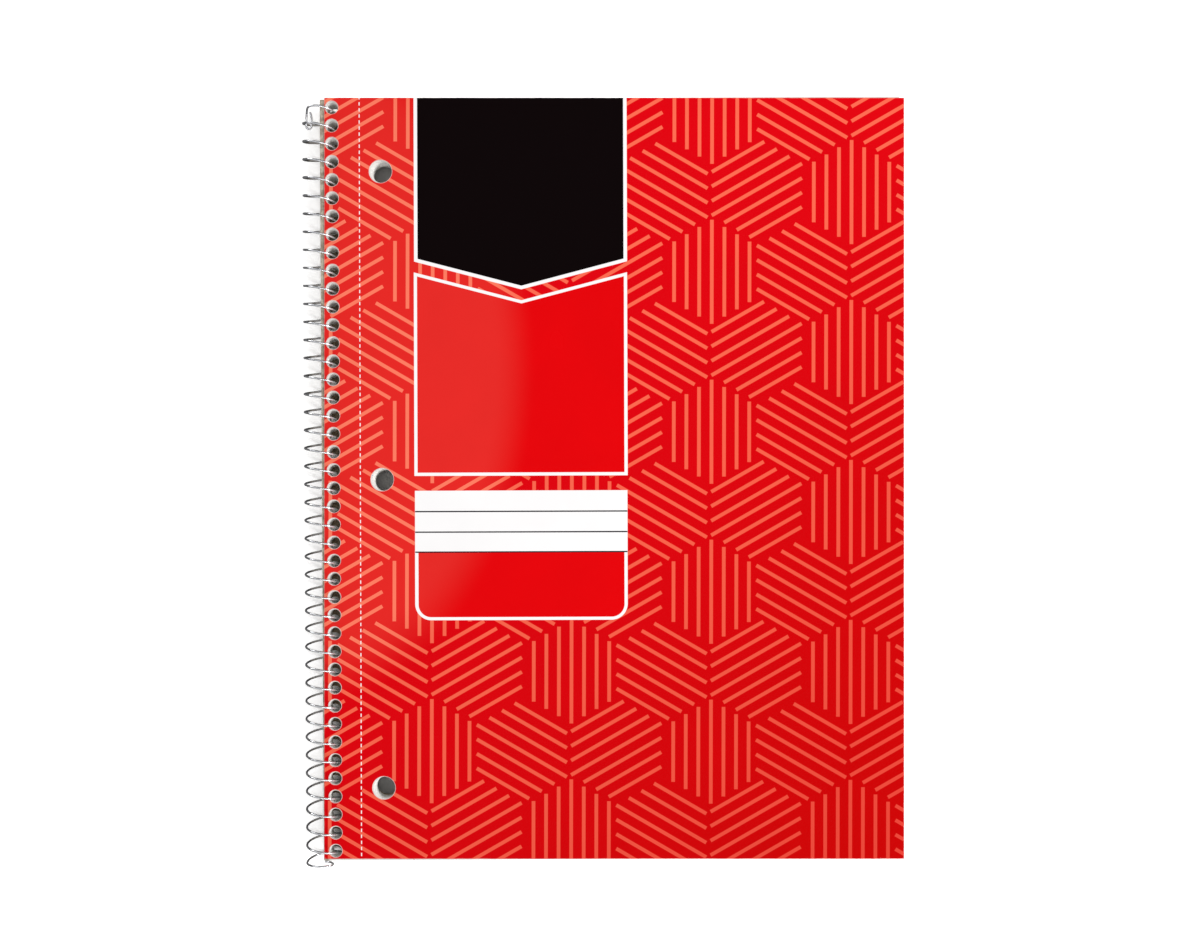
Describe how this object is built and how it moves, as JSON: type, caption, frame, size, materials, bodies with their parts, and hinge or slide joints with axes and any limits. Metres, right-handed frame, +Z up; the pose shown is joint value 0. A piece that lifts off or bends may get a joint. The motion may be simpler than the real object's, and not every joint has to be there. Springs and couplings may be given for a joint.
{
  "type": "spiral notebook",
  "caption": "Spiral bound notebook lying closed: card covers and a block of ruled sheets on a left-handed wire coil, punched for a ring binder.",
  "frame": {"origin": "middle of the whole notebook's box in X and Y, on the surface that the coil rests on", "axes": "+X from the spine to the fore edge, +Y up the page along the coil, +Z up out of the front cover"},
  "size_m": [0.2116, 0.2694, 0.0123],
  "materials": {
    "printed_card": "red printed card with a light gloss",
    "sheets": "uncoated ruled writing paper",
    "board": "plain grey-brown board",
    "wire": "bright zinc-plated wire"
  },
  "bodies": {
    "sheets": {"page_block": "sheets", "wire_coil": "wire"},
    "front": {"front_cover": "printed_card"},
    "back": {"back_cover": "board"}
  },
  "joints": [
    {"name": "front_cover_hinge", "type": "hinge", "parent": "sheets", "child": "front", "pos_m": [-0.09979, -0.00042, 0.00829], "axis": [0, -1, 0], "range_deg": [0, 180]},
    {"name": "back_cover_hinge", "type": "hinge", "parent": "sheets", "child": "back", "pos_m": [-0.09967, -0.00042, 0.00205], "axis": [0, 1, 0], "range_deg": [0, 180]}
  ]
}
